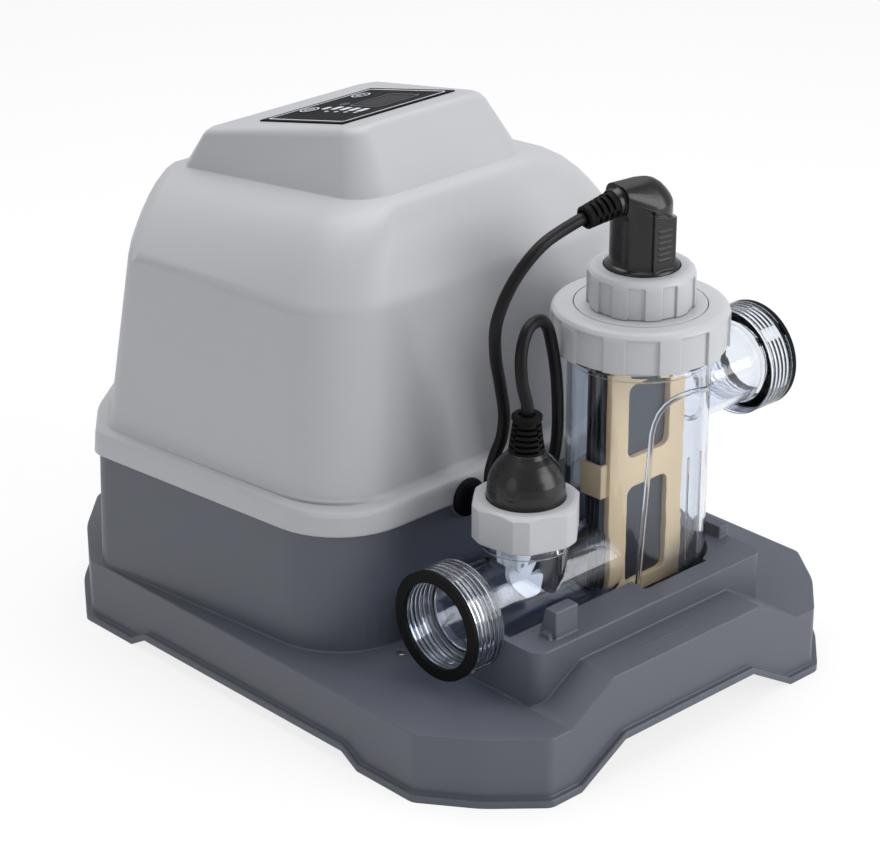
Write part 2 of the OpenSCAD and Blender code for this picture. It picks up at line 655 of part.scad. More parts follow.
module outlet_gasket() {
    color(black) at_port(1) gasket();
}

// ---------- cell head, rings and electrodes ----------
head_flange_z = vessel_top + gap;
head_top = ring_z + ring_h;
spigot_z = vessel_top - 18;                  // underside of the head, on the electrode frame
o_ring_z = vessel_top - 8;
tower_r = plug_ring_r - 5;
tower_h = 15;
ring_hole = vessel_in + 0.3;
plug_ring_h = 20.9;
plug_ring_z = head_top + 0.4;
plug_ring_top = plug_ring_z + plug_ring_h;
plug_r = 17.5;
pin_at = [[-8, -4.5], [8, 4.5], [-8, 4.5]];
module lobed(r, depth, h, count, share, phase) {
    // ring blank with recessed panels; share is the raised part of each lobe
    step = 360 / count;
    difference() {
        rotate_extrude() polygon([[0, 0], [r, 0], [r, h - 4.5], [r - 0.6, h - 2.4], [r - 2, h - 0.8],
            [r - 4.2, h], [0, h]]);
        for (i = [0:count - 1]) rotate(phase + (i + 0.5) * step) difference() {
            a = step * (1 - share) / 2;
            translate([0, 0, -1]) linear_extrude(h - 2.5) polygon([[0, 0],
                for (t = [-a:a / 3:a + 0.1]) [(r + 3) * cos(t), (r + 3) * sin(t)]]);
            translate([0, 0, -2]) cylinder(h, r = r - depth);
        }
    }
}
module lock_ring() {
    color(ring_grey) translate([cell_x, port_y, ring_z]) difference() {
        lobed(ring_r, 1.5, ring_h, 10, 0.4, -117.7);
        translate([0, 0, -1]) cylinder(ring_h + 2, r = ring_hole);
        translate([0, 0, -1]) cylinder(ring_h - 4, r = crest_r + gap);
    }
}
module plug_ring() {
    color(ring_grey) translate([cell_x, port_y, plug_ring_z]) difference() {
        lobed(plug_ring_r, 1.2, plug_ring_h, 10, 0.5, -124.1);
        translate([0, 0, -1]) cylinder(plug_ring_h + 2, r = plug_r + 3);
        translate([0, 0, -1]) cylinder(plug_ring_h - 3, r = tower_r + gap);
    }
}
module cell_head() {
    color(ring_grey) translate([cell_x, port_y, 0]) difference() {
        rotate_extrude() polygon([[0, spigot_z], [vessel_in - 0.2, spigot_z],
            [vessel_in - 0.2, o_ring_z - 1.3],
            [vessel_in - 2.2, o_ring_z - 1.3], [vessel_in - 2.2, o_ring_z + 1.3],
                [vessel_in - 0.2, o_ring_z + 1.3],
            [vessel_in - 0.2, head_flange_z - 0.3], [crest_r - 0.2, head_flange_z - 0.3],
            [crest_r - 0.2, head_flange_z + 3.5], [vessel_in - 0.2, head_flange_z + 3.5],
            [vessel_in - 0.2, head_top], [tower_r, head_top], [tower_r, head_top + tower_h],
                [0, head_top + tower_h]]);
        for (p = pin_at) translate([p[0], p[1], spigot_z - 1]) cylinder(60, r = 2.1);
    }
}
module cell_o_ring() {
    color(black) translate([cell_x, port_y, o_ring_z]) rotate_extrude() translate([vessel_in - 1.1, 0])
        circle(1.05, $fn = 24);
}
frame_half = [29, 8.5];
frame_foot = vessel_foot + clear_wall + 0.2;
post_w = 13;
plate_count = 4;
plate_pitch = 3;
electrode_t = 1;
plates_z = [frame_foot + 5, spigot_z - 3];
plate_out = 3.5;                             // how far the plates stand out of the frame's left side
bar_z = [inlet_z + 38, inlet_z + 55];
module window(x0, x1, z0, z1, r = 5) {
    along_y(port_y - 12, port_y + 12) polygon(rounded([[x0, z0], [x1, z0], [x1, z1], [x0, z1]],
        [r, r, r, r], 5));
}
module electrode_frame() {
    color(cream) difference() {
        translate([cell_x - frame_half[0], port_y - frame_half[1], frame_foot])
            cube([2 * frame_half[0], 2 * frame_half[1], spigot_z - frame_foot]);
        x0 = cell_x - frame_half[0] + post_w;
        x1 = cell_x + frame_half[0] - post_w;
        window(x0, x1, frame_foot + 8, bar_z[0]);
        window(x0, x1, bar_z[1], spigot_z - 14);
        for (i = [0:plate_count - 1]) translate([cell_x - frame_half[0] - 1,
            port_y + (i - (plate_count - 1) / 2) * plate_pitch - electrode_t / 2 - snug,
                plates_z[0] - snug])
            cube([2 * frame_half[0] - 3, electrode_t + 2 * snug, plates_z[1] - plates_z[0] + 2 * snug]);
        for (p = pin_at) translate([cell_x + p[0], port_y + p[1], plates_z[1] - 1]) cylinder(8, r = 2.1);
    }
}
module electrode_plates() {
    color("#3c3f42") for (i = [0:plate_count - 1]) translate([cell_x - frame_half[0] - plate_out,
        port_y + (i - (plate_count - 1) / 2) * plate_pitch - electrode_t / 2, plates_z[0]])
        cube([2 * frame_half[0] + plate_out - 4.2, electrode_t, plates_z[1] - plates_z[0]]);
}
module electrode_clip() {
    h = bar_z[1] - bar_z[0] + 2;
    y = (plate_count - 1) / 2 * plate_pitch + electrode_t / 2 + 0.2;
    color(cream) translate([cell_x - frame_half[0] - plate_out - 1.5, port_y, bar_z[0] - 1]) difference() {
        translate([0, -y - 1.7, 0]) cube([plate_out + 1.5, 2 * y + 3.4, h]);
        translate([1.4, -y, -1]) cube([plate_out + 2, 2 * y, h + 2]);
    }
}
module terminal_pins() {
    color("#c8cbce") for (p = pin_at) translate([cell_x + p[0], port_y + p[1], plates_z[1]])
        cylinder(head_top + tower_h + 8 - plates_z[1], r = 2);
}

// ---------- plug of the cell's cord ----------
plug_z = head_top + tower_h;
plug_top = plug_ring_top + 47.6;
plug_turn = -7;                              // the elbow leans a little towards the case
grip_y = -plug_r - 0.5;
grip_half = 7.3;
rim_z = plug_top - 15.2;                     // slanted rim of the barrel, at the cell's axis
rim_tilt = 22.8;
relief_droop = 11;
relief_root = [-21, plug_top - 9.8];         // in the plug's own x and z
relief_length = 19.4;
relief_tip = relief_root - relief_length * [cos(relief_droop), sin(relief_droop)];
screw_at = [-7, rim_z + 1.55];
module at_plug() {
    translate([cell_x, port_y, 0]) rotate(plug_turn) children();
}
// +Z runs out of the elbow along the cord
module at_relief() {
    at_plug() translate([relief_root[0], 0, relief_root[1]]) rotate([0, -90 - relief_droop, 0])
        children();
}
// Point on the cord's line, in the model's frame, at x and z of the plug
function from_plug(p) = let (q = turned([p[0], 0], plug_turn)) [cell_x + q[0], port_y + q[1], p[1]];

// Everything under a plane that falls towards +X
module below(z, tilt) {
    translate([0, 0, z]) rotate([0, tilt, 0]) translate([0, 0, -60]) cylinder(60, r = 45);
}
module plug_barrel() {
    z0 = plug_ring_top + 1.6;
    intersection() {
        rotate_extrude() polygon([[0, plug_z], [tower_r - 0.5, plug_z], [tower_r - 0.5, plug_z + 1.8],
            [plug_r + 2.6, plug_z + 2.2], [plug_r + 2.6, plug_ring_top], [plug_r + 2, plug_ring_top + 1.2],
            [plug_r, plug_ring_top + 2.4], [plug_r, plug_top], [0, plug_top]]);
        below(rim_z, rim_tilt);
    }
    // finger grips on both sides, each with six ridges
    for (side = [0, 1]) mirror([0, side, 0]) {
        intersection() {
            translate([-grip_half, grip_y, z0]) cube([2 * grip_half, plug_r - 4, plug_top - z0]);
            below(rim_z - 1.3, 12.4);
        }
        for (i = [0:5]) translate([-4.6, grip_y - 0.5, z0 + 5.7 + 3.16 * i]) cube([9.2, 1, 0.8]);
    }
}
module plug_elbow() {
    t = plug_top;
    hull() {
        rotate_extrude() polygon([[0, rim_z - 9], [15.3, rim_z - 9], [15.3, t - 13], [14.9, t - 11.2],
            [13.7, t - 8.8], [11.6, t - 5.9], [8.9, t - 3], [5.6, t - 0.8], [3, t], [0, t]]);
        along_x(-18.1, -3) polygon(rounded([[-9.5, rim_z - 2.5], [9.5, rim_z - 2.5], [9.5, t], [-9.5, t]],
            [7, 7, 6, 6], 8));
    }
}
module cell_plug() {
    color(black) difference() {
        union() {
            at_plug() plug_barrel();
            at_plug() plug_elbow();
            at_relief() translate([0, 0, -6]) cylinder(6, r = 7.9);
        }
        for (p = pin_at) translate([cell_x + p[0], port_y + p[1], plug_z - 1]) cylinder(9.2, r = 2.1);
        at_plug() translate([screw_at[0], grip_y - 1, screw_at[1]]) rotate([-90, 0, 0])
            cylinder(6, r = 1.05);
        at_relief() translate([0, 0, -3]) cylinder(4, r = 5.2);
    }
}
module plug_screw() {
    color("#2b2c2e") at_plug() translate([screw_at[0], grip_y + 4.9, screw_at[1]])
        rotate([-90, 0, 0]) difference() {
            translate([0, 0, -1.6]) cylinder(1.6, r = 0.95);
            translate([-1.2, -0.2, -2.2]) cube([2.4, 0.4, 1.2]);
        }
}
recess = 1.5;
// Ribbed, tapering sleeve: slots are cut from four sides between its rings. The end has a
// collar that stands out by flare, and a recess round the cord
module relief(length, r0, r1, slots, head, flare) {
    pitch = (length - head) / (slots + 0.6);
    difference() {
        rotate_extrude() polygon([[0, 0], [r0, 0], [r0 + (r1 - r0) * 0.9, length - head - 0.8],
            [r1 + flare * 0.2, length - head], [r1 + flare, length - head + 0.6],
            [r1 + flare, length - 0.8], [r1 + flare - 0.8, length], [cord_d / 2 + 1.2, length],
            [cord_d / 2 + 0.4, length - recess], [0, length - recess]]);
        for (i = [0:slots - 1], a = [0:3]) rotate(a * 90 + 45)
            translate([cord_d / 2 + 1.4, -r0 * 0.62, (i + 0.4 + 0.5 * (a % 2)) * pitch])
            cube([r0, r0 * 1.24, pitch * 0.42]);
    }
}
module plug_strain_relief() {
    color(black) at_relief() {
        relief(relief_length, 7.4, 6.3, 4, 2.6, 0);
        translate([0, 0, -2.5]) cylinder(2.6, r = 5);
    }
}

// ---------- flow sensor ----------
sensor_flange_z = neck_top + 2.4;
bell_z = nut_z + nut_h;
bell_top = bell_z + 26;
sensor_top = bell_z + 46.5;
relief_h = sensor_top - bell_top;
module at_sensor(z = 0) {
    translate([sensor_x, port_y, z]) children();
}
module sensor_body() {
    r = bell_r;
    color(black) at_sensor() rotate_extrude() polygon([[0, sensor_flange_z],
        [collar_r - 0.8, sensor_flange_z],
        [collar_r - 0.8, sensor_flange_z + 3], [r, sensor_flange_z + 3.4], [r, bell_z + 3],
        [r - 0.3, bell_z + 7], [r - 1.1, bell_z + 11], [r - 2.5, bell_z + 14.8], [r - 4.5, bell_z + 18.2],
        [r - 7, bell_z + 21.3], [r - 9.6, bell_z + 23.8], [r - 11.2, bell_top], [0, bell_top]]);
}
module sensor_strain_relief() {
    color(black) at_sensor(bell_top) relief(relief_h, 9.6, 7.2, 5, 3.2, 0.9);
}
module sensor_nut() {
    color(ring_grey) at_sensor(nut_z) difference() {
        intersection() {
            linear_extrude(nut_h) polygon([for (i = [0:5], s = [-8.5, 8.5]) let (a = -139.4 + i * 60 + s)
                [nut_r * cos(a), nut_r * sin(a)]]);
            rotate_extrude() polygon([[0, 0], [nut_r - 0.5, 0], [nut_r + 0.1, 0.8],
                [nut_r + 0.1, nut_h - 2.2],
                [nut_r - 2.2, nut_h - 0.7], [nut_r - 4, nut_h], [0, nut_h]]);
        }
        translate([0, 0, -1]) cylinder(nut_h + 2, r = bell_r + gap);
        translate([0, 0, -1]) cylinder(nut_h - 3, r = collar_r + gap);
    }
}
paddle_at = [sensor_x - 9.5, inlet_z + 19];   // pivot, in x and z
pin_r = 1.2;
module sensor_stem() {
    color("#e3e4e2") difference() {
        union() {
            at_sensor(neck_top - 14) cylinder(sensor_flange_z - neck_top + 14, r = neck_in - 0.2);
            for (sy = [-1, 1]) along_y(port_y + sy * 6 - 1.5, port_y + sy * 6 + 1.5) polygon([
                [paddle_at[0] - 4, neck_top - 13.5], [paddle_at[0] - 3.5, paddle_at[1] - 2],
                [paddle_at[0] - 1.5, paddle_at[1] - 4], [paddle_at[0] + 1.5, paddle_at[1] - 4],
                [paddle_at[0] + 4, paddle_at[1] - 1], [paddle_at[0] + 10, neck_top - 13.5]]);
        }
        at_sensor(neck_top - 6) rotate_extrude() translate([neck_in - 0.2, 0]) square([3.4, 2.6],
            center = true);
        translate([paddle_at[0], port_y - 10, paddle_at[1]]) rotate([-90, 0, 0])
            cylinder(20, r = pin_r + 0.02);
    }
}
module sensor_o_ring() {
    color(black) at_sensor(neck_top - 6) rotate_extrude() translate([neck_in - 0.95, 0])
        circle(0.9, $fn = 24);
}
module paddle_pin() {
    color("#c8cbce") translate([paddle_at[0], port_y - 7.8, paddle_at[1]]) rotate([-90, 0, 0])
        cylinder(15.6, r = pin_r);
}
module flow_paddle() {
    q = paddle_at;
    color("#eef0f1") difference() {
        union() {
            along_y(port_y - 1.5, port_y + 1.5) polygon([each rounded([[q[0] - 4, q[1] + 3],
                [q[0] - 4.5, q[1] - 10], [q[0] + 1, q[1] - 19], [q[0] + 9, q[1] - 26],
                    [q[0] + 20, q[1] - 27],
                [q[0] + 22, q[1] - 15]], [3, 6, 8, 8, 7, 2], 4), [q[0] + 12, q[1] - 12],
                [q[0] + 17, q[1] - 5.5], [q[0] + 8, q[1] - 6], [q[0] + 3, q[1] + 0]]);
            translate([q[0], port_y - 4, q[1]]) rotate([-90, 0, 0]) cylinder(8, r = 2.8);
        }
        translate([q[0], port_y - 6, q[1]]) rotate([-90, 0, 0]) cylinder(12, r = pin_r + 0.08);
    }
}

// ---------- cords ----------
cell_cord_path = [[cell_gland_x, case_front - gland_dome, gland_z], [-38, -73.4, 108.7],
    [-38, -77.3, 110.9], [-38, -80, 114.6], [-38, -81.2, 119.6], [-37.6, -81.4, 129],
    [-36.6, -83.8, 139], [-35, -87, 150], [-36, -89.5, 165], [-42, -92.5, 184],
    [-49.5, -96.5, 204], [-54, -102, 225.5], [-47, -107, 247], [-30.5, -110, 262.5],
    from_plug(relief_tip - 6.5 * [cos(relief_droop), sin(relief_droop)]),
    from_plug(relief_tip + recess * [cos(relief_droop), sin(relief_droop)])];
sensor_cord_path = [[sensor_x, port_y, sensor_top - recess], [sensor_x, port_y, sensor_top + 5],
    [-46, -112.5, 193], [-44.7, -110.5, 207], [-37.3, -107.5, 217.5], [-25.4, -104.5, 218.5],
    [-16, -101, 210.5], [-10, -99, 196], [-6, -98, 180], [-4.5, -98, 162], [-4, -97.5, 145],
    [-4, -95, 130], [-4, -91.6, 121.6], [-4, -87, 115.2], [-4, -81, 110.7], [-4, -75, 108.5],
    [sensor_gland_x, case_front - gland_dome, gland_z]];

// Smooth curve through P: the point at t between P[i] and P[i + 1]
function spline(P, i, t) =
    let (n = len(P) - 1, a = P[max(i - 1, 0)], b = P[i], c = P[i + 1], d = P[min(i + 2, n)])
    0.5 * ((2 * b) + (c - a) * t + (2 * a - 5 * b + 4 * c - d) * t * t + (3 * b - a - 3 * c + d)
        * t * t * t);
function smooth_path(P, steps) =
    [for (i = [0:len(P) - 2], j = [0:steps - 1]) spline(P, i, j / steps), P[len(P) - 1]];
// A frame carried along the path with no twist: each step turns the last normal
function carried(P, i) = i == 0
    ? unit(cross(P[1] - P[0], [0.31, 0.2, 0.93]))
    : let (t = unit(P[min(i + 1, len(P) - 1)] - P[i - 1]), n = carried(P, i - 1)) unit(n - t * (n * t));
module tube(P, r, sides) {
    n = len(P);
    rings = [for (i = [0:n - 1])
        let (t = i == 0 ? unit(P[1] - P[0]) : i == n - 1 ? unit(P[i] - P[i - 1])
            : unit(P[i + 1] - P[i - 1]),
             u = unit(carried(P, i) - t * (carried(P, i) * t)), v = cross(t, u))
        [for (k = [0:sides - 1]) P[i] + r * (u * cos(360 * k / sides) + v * sin(360 * k / sides))]];
    loft(rings);
}
module cell_cord() {
    color(black) tube(smooth_path(cell_cord_path, 2), cord_d / 2, 10);
}
module sensor_cord() {
    color(black) tube(smooth_path(sensor_cord_path, 2), cord_d / 2, 10);
}

base();
chassis_plate();
plate_screws();
case_seal();
top_cover();
case_screws();
keypad_overlay();
display_window();
key_power();
key_mode();
status_leds();
keypad_board();
display_module();
transformer_core();
transformer_coil();
transformer_bracket();
main_board();
board_standoffs();
heat_sink();
capacitors();
relays();
terminal_block();
cell_gland();
sensor_gland();
mains_gland();
cell_vessel();
inlet_gasket();
outlet_gasket();
cell_o_ring();
cell_head();
lock_ring();
electrode_frame();
electrode_plates();
electrode_clip();
terminal_pins();
cell_plug();
plug_strain_relief();
plug_screw();
plug_ring();
cell_cord();
sensor_body();
sensor_nut();
sensor_strain_relief();
sensor_stem();
sensor_o_ring();
paddle_pin();
flow_paddle();
sensor_cord();
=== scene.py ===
"""Salt chlorine generator: finishes, smoothed mouldings, cords and small moulded details."""

import json
import math

import bmesh
import bpy
from mathutils import Matrix, Vector


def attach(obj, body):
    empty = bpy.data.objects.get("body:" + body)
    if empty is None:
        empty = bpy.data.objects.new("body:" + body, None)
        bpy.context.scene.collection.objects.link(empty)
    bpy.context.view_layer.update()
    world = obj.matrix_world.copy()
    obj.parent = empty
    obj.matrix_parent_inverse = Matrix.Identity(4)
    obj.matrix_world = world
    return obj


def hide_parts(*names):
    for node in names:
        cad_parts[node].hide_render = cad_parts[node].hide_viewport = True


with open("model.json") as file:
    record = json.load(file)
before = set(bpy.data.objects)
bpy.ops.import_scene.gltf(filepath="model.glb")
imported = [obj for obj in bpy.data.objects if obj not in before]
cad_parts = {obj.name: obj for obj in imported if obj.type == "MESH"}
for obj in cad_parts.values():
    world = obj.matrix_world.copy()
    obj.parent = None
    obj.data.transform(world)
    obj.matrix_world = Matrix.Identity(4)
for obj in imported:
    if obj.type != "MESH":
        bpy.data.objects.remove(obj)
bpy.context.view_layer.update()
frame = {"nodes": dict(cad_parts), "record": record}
nodes = frame["nodes"]
scene = bpy.context.scene
MM = 0.001

# Points of a mesh closer than this, in metres, are one point
WELD = 0.000004

# Axes, sizes and heights of the model, in millimetres
CELL = (40.4, -114.0)
SENSOR = (-43.6, -114.0)
VESSEL_R = 38.5
CORD_D = 6.6
LEDGE_LINE_Y = -180.6
LEDGE_TOP_Z = 56.55
BEAD_SIDES = 10

# Camera: lens and sensor in millimetres, place in metres, angles in degrees
FOCAL_LENGTH = 121.9
SENSOR_WIDTH = 36.0
CAMERA_PLACE = (-1.0367, -1.0990, 0.8046)
CAMERA_TILT = 65.38
CAMERA_TURN = -43.4

# Bell of the sensor: heights and radii of its side, and the middle and half sizes of its oval
BELL_PROFILE = [
    (128, 20.8), (131, 20.8), (135, 20.5), (139, 19.7), (142.8, 18.3), (146.2, 16.3), (149.3, 13.8),
]
OVAL_TURN = -158
OVAL_Z = 139.6
OVAL_HALF = (5.6, 7.0)
OVAL_PROUD = 0.35


def rad(degrees):
    """Radians from degrees."""
    return math.radians(degrees)


def linear(level):
    """Linear share of light for a display level from 0 to 255."""
    share = level / 255
    return ((share + 0.055) / 1.055) ** 2.4 if level > 10 else share / 12.92


def srgb(red, green, blue):
    """Linear colour with alpha from three display levels."""
    return linear(red), linear(green), linear(blue), 1.0


# ---------- camera ----------
def make_camera():
    data = bpy.data.cameras.new("camera")
    data.lens = FOCAL_LENGTH
    data.sensor_width = SENSOR_WIDTH
    data.clip_start = 0.05
    data.clip_end = 60.0
    camera = bpy.data.objects.new("camera", data)
    camera.location = CAMERA_PLACE
    camera.rotation_euler = (rad(CAMERA_TILT), 0.0, rad(CAMERA_TURN))
    scene.collection.objects.link(camera)
    scene.camera = camera


# ---------- shader maths ----------
def join(tree, socket, value):
    """Links a Wire to a socket, or sets the socket to a plain value."""
    if isinstance(value, Wire):
        tree.links.new(value.output, socket)
    else:
        socket.default_value = value


class Wire:
    """An output of a shader node. Arithmetic on it adds Math nodes."""

    def __init__(self, tree, output):
        self.tree = tree
        self.output = output

    def maths(self, operation, first, second):
        node = self.tree.nodes.new("ShaderNodeMath")
        node.operation = operation
        join(self.tree, node.inputs[0], first)
        join(self.tree, node.inputs[1], second)
        return Wire(self.tree, node.outputs[0])

    def __add__(self, other):
        return self.maths("ADD", self, other)

    def __radd__(self, other):
        return self.maths("ADD", other, self)

    def __sub__(self, other):
        return self.maths("SUBTRACT", self, other)

    def __rsub__(self, other):
        return self.maths("SUBTRACT", other, self)

    def __mul__(self, other):
        return self.maths("MULTIPLY", self, other)

    def __rmul__(self, other):
        return self.maths("MULTIPLY", other, self)

    def held(self, low, high):
        """Kept between two numbers."""
        return self.maths("MINIMUM", self.maths("MAXIMUM", self, low), high)


class Finish:
    """A material with one Principled shader, and the nodes that feed it."""

    def __init__(self, name, **fixed):
        self.material = bpy.data.materials.new(name)
        self.material.use_nodes = True
        self.tree = self.material.node_tree
        self.shader = self.tree.nodes["Principled BSDF"]
        self.place = self.node("ShaderNodeTexCoord", "Object")
        for socket, value in fixed.items():
            self.shader.inputs[socket.replace("_", " ")].default_value = value

    def node(self, kind, out=0, settings=None, values=None):
        """Adds a node: its settings are set first, then the values or links of its sockets."""
        node = self.tree.nodes.new(kind)
        for key, value in (settings or {}).items():
            if key == "stops":
                ramp = node.color_ramp.elements
                while len(ramp) < len(value):
                    ramp.new(0.5)
                for stop, (at, shade) in zip(ramp, value):
                    stop.position = at
                    stop.color = (shade, shade, shade, 1.0)
            else:
                setattr(node, key, value)
        for key, value in (values or {}).items():
            join(self.tree, node.inputs[key], value)
        return Wire(self.tree, node.outputs[out])

    def noise(self, size, detail=2.0, stretch=None, rough=0.5):
        """Soft noise with features of that size in metres, from 0 to 1."""
        place = self.place
        if stretch:
            place = self.node("ShaderNodeMapping", values={"Vector": place, "Scale": stretch})
        values = {"Vector": place, "Scale": 1 / size, "Detail": detail, "Roughness": rough}
        return self.node("ShaderNodeTexNoise", "Fac", values=values)

    def ramp(self, wire, *stops):
        return self.node("ShaderNodeValToRGB", settings={"stops": stops}, values={"Fac": wire})

    def mix(self, share, first, second):
        values = {0: share, 6: first, 7: second}
        return self.node("ShaderNodeMix", 2, {"data_type": "RGBA"}, values)

    def soft_normal(self, radius):
        return self.node("ShaderNodeBevel", settings={"samples": 6}, values={"Radius": radius})

    def edges(self, soft):
        """1 on rounded edges and 0 on flat faces."""
        normal = self.node("ShaderNodeNewGeometry", "Normal")
        dot = self.node("ShaderNodeVectorMath", "Value", {"operation": "DOT_PRODUCT"}, {0: soft, 1: normal})
        return ((1 - dot) * 9.0).held(0.0, 1.0)

    def bump(self, height, depth, normal=None):
        values = {"Strength": 1.0, "Distance": depth, "Height": height}
        if normal:
            values["Normal"] = normal
        return self.node("ShaderNodeBump", values=values)

    def feed(self, **wires):
        for socket, wire in wires.items():
            join(self.tree, self.shader.inputs[socket.replace("_", " ")], wire)
        return self


def tinted(colour, factor):
    return tuple(min(1.0, c * factor) for c in colour[:3]) + (1.0,)


# Size and depth in metres of the texture that spark erosion leaves on a mould
SPARK_GRAIN = 0.0007
SPARK_DEPTH = 0.00002


def moulded(name, colour, rough, edge=0.0008, tone=0.05, painted_edge_highlight=0.10, **fixed):
    """Injection-moulded plastic: drifting tone, fine spark grain, softened, slightly polished edges, and a
    painted highlight along the edges.
    """
    finish = Finish(name, **fixed)
    drift = finish.noise(0.07, 3)
    flow = finish.noise(0.02, 4, (1.0, 1.0, 0.35))
    speck = finish.noise(SPARK_GRAIN, 2)
    soft = finish.soft_normal(edge)
    rim = finish.edges(soft)
    body = finish.mix(drift, tinted(colour, 1 - tone), tinted(colour, 1 + tone))
    body = finish.mix(flow * 0.25, body, tinted(colour, 1 - 1.6 * tone))
    body = finish.mix(speck * 0.10, body, tinted(colour, 0.88))
    # Painted highlight: the rounded edges are mixed towards a lighter copy of the colour, standing in for
    # light caught on them.
    body = finish.mix(rim * painted_edge_highlight, body, tinted(colour, 1.35))
    gloss = (drift - 0.5) * 0.07 + (speck - 0.5) * 0.06 + (rough - rim * 0.08)
    relief = finish.bump(speck, SPARK_DEPTH, soft)
    return finish.feed(Base_Color=body, Roughness=gloss.held(0.04, 1.0), Normal=relief)


def rubber(name, colour, rough=0.62, grain=0.0004, **fixed):
    """Black rubber or soft PVC: matte, with dust in the grain and faint scuffs."""
    finish = Finish(name, **fixed)
    dust = finish.noise(0.006, 4)
    grit = finish.noise(grain, 2)
    scuff = finish.ramp(finish.noise(0.011, 6, rough=0.7), (0.58, 0.0), (0.68, 1.0))
    soft = finish.soft_normal(0.0004)
    body = finish.mix(dust * 0.35, colour, tinted(colour, 1.9))
    body = finish.mix(scuff * 0.05, body, srgb(70, 70, 72))
    gloss = (grit - 0.5) * 0.12 + (rough + (dust - 0.5) * 0.14)
    relief = finish.bump(grit, 0.00003, soft)
    return finish.feed(Base_Color=body, Roughness=gloss.held(0.1, 1.0), Normal=relief)


def clear(name, tint, haze=0.25, rough=0.02, lamp_share=0.85):
    """Clear moulding: faint flow waves, scratches and a trace of haze. Most lamp light goes through it."""
    finish = Finish(name, Transmission_Weight=1.0, IOR=1.47)
    wave = finish.noise(0.016, 3, (1.0, 1.0, 0.4))
    scratch = finish.ramp(finish.noise(0.0016, 3, (1.0, 1.0, 0.06)), (0.60, 0.0), (0.70, 1.0))
    soft = finish.soft_normal(0.0005)
    body = finish.mix(wave * haze, tint, tinted(tint, 0.82))
    gloss = scratch * 0.05 + (rough + wave * 0.02)
    finish.feed(Base_Color=body, Roughness=gloss, Normal=finish.bump(wave, 0.00022, soft))
    lamp_ray = finish.node("ShaderNodeLightPath", "Is Shadow Ray")
    veil = finish.node("ShaderNodeBsdfTransparent", values={"Color": tinted(tint, 0.97)})
    shader = Wire(finish.tree, finish.shader.outputs[0])
    both = finish.node("ShaderNodeMixShader", values={0: lamp_ray * lamp_share, 1: shader, 2: veil})
    join(finish.tree, finish.tree.nodes["Material Output"].inputs["Surface"], both)
    return finish


def metal(name, colour, rough, lay=(1.0, 1.0, 1.0), line=0.0006, stain=0.12, edge=0.0004):
    """Bare metal with drawing or brushing lines along the long side of lay, and thin stains."""
    finish = Finish(name, Metallic=1.0)
    stroke = finish.noise(line, 3, lay)
    cloud = finish.noise(0.012, 4)
    soft = finish.soft_normal(edge)
    body = finish.mix(cloud * stain, colour, tinted(colour, 0.55))
    gloss = (stroke - 0.5) * 0.16 + (rough + cloud * 0.10)
    relief = finish.bump(stroke, 0.00001, soft)
    return finish.feed(Base_Color=body, Roughness=gloss.held(0.05, 1.0), Normal=relief)


def banded(name, colour, groove, pitch, along="Z", rough=0.35, metallic=0.0, depth=0.0002):
    """Surface with fine even grooves across an axis: wire turns, or a stack of laminations."""
    finish = Finish(name, Metallic=metallic)
    band = finish.node(
        "ShaderNodeTexWave",
        "Fac",
        {"wave_type": "BANDS", "bands_direction": along},
        {"Vector": finish.place, "Scale": 0.314 / pitch, "Distortion": 0.4, "Detail": 1.0},
    )
    cloud = finish.noise(0.009, 3)
    body = finish.mix(band, groove, colour)
    body = finish.mix(cloud * 0.2, body, tinted(colour, 0.7))
    gloss = rough + (cloud - 0.5) * 0.2
    relief = finish.bump(band, depth, finish.soft_normal(0.0003))
    return finish.feed(Base_Color=body, Roughness=gloss, Normal=relief)


def circuit(name):
    """Green solder resist over copper tracks."""
    finish = Finish(name)
    cells = finish.node(
        "ShaderNodeTexBrick",
        "Fac",
        {"offset": 0.35, "squash": 1.6},
        {"Vector": finish.place, "Scale": 90.0, "Mortar Size": 0.035, "Mortar Smooth": 0.2},
    )
    cloud = finish.noise(0.004, 2)
    body = finish.mix(cells, srgb(18, 84, 52), srgb(46, 120, 72))
    body = finish.mix(cloud * 0.25, body, srgb(12, 60, 40))
    return finish.feed(Base_Color=body, Roughness=0.34 + cloud * 0.1, Normal=finish.bump(cells, 0.00004))


def overlay_film():
    """Dark polyester film with a fine velvet texture."""
    finish = Finish("overlay film", Specular_IOR_Level=0.08)
    velvet = finish.noise(0.00035, 2)
    drift = finish.noise(0.03, 2)
    body = finish.mix(drift, srgb(12, 13, 18), srgb(16, 17, 23))
    gloss = 0.55 + velvet * 0.12
    soft = finish.soft_normal(0.0003)
    return finish.feed(Base_Color=body, Roughness=gloss, Normal=finish.bump(velvet, 0.00001, soft))


def printed(name, colour):
    """Screen-printed ink on the overlay."""
    finish = Finish(name)
    thin = finish.noise(0.0005, 2)
    body = finish.mix(thin * 0.35, colour, tinted(colour, 0.7))
    return finish.feed(Base_Color=body, Roughness=0.4 + thin * 0.15, Normal=finish.bump(thin, 0.00001))


